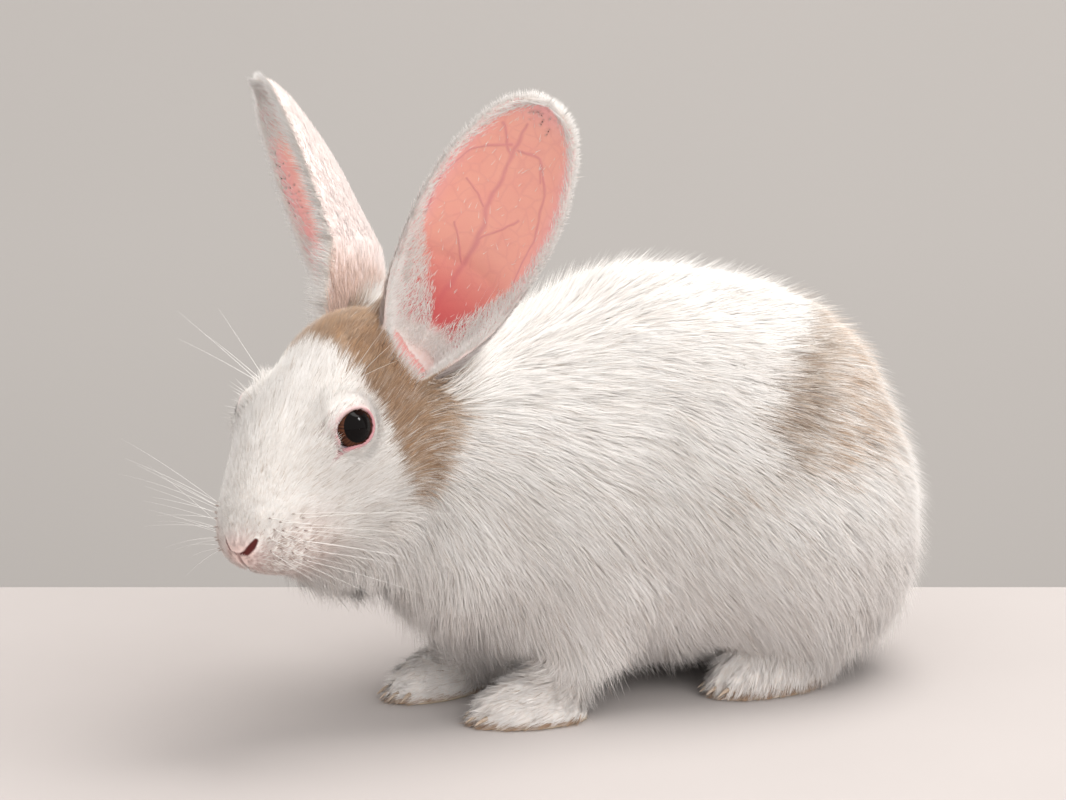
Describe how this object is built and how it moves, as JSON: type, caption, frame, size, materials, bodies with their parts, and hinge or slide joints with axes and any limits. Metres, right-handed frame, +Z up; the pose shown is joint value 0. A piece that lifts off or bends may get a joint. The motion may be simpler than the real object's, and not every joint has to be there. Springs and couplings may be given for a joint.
{
  "type": "rabbit",
  "caption": "Life-size still model of a young domestic rabbit at rest, head low and turned a little, ears up, coat modelled to its tips.",
  "frame": {"origin": "on the floor, under the middle of the whole animal's box", "axes": "+Z up, the nose towards -Y, the rabbit's left side towards +X"},
  "size_m": [0.1418, 0.2538, 0.1976],
  "materials": {
    "coat_white": "soft white fur, grey-tan patches on head and rump",
    "ear_skin": "thin pink skin with short white hair",
    "eye": "wet, dark brown"
  },
  "bodies": {
    "root": {"head": "coat_white", "neck": "coat_white", "trunk": "coat_white", "tail": "coat_white", "foreleg_left": "coat_white", "foreleg_right": "coat_white", "forepaw_left": "coat_white", "forepaw_right": "coat_white", "thigh_left": "coat_white", "thigh_right": "coat_white", "hindfoot_left": "coat_white", "hindfoot_right": "coat_white", "ear_left": "ear_skin", "ear_right": "ear_skin", "eye_left": "eye", "eye_right": "eye"}
  },
  "joints": []
}
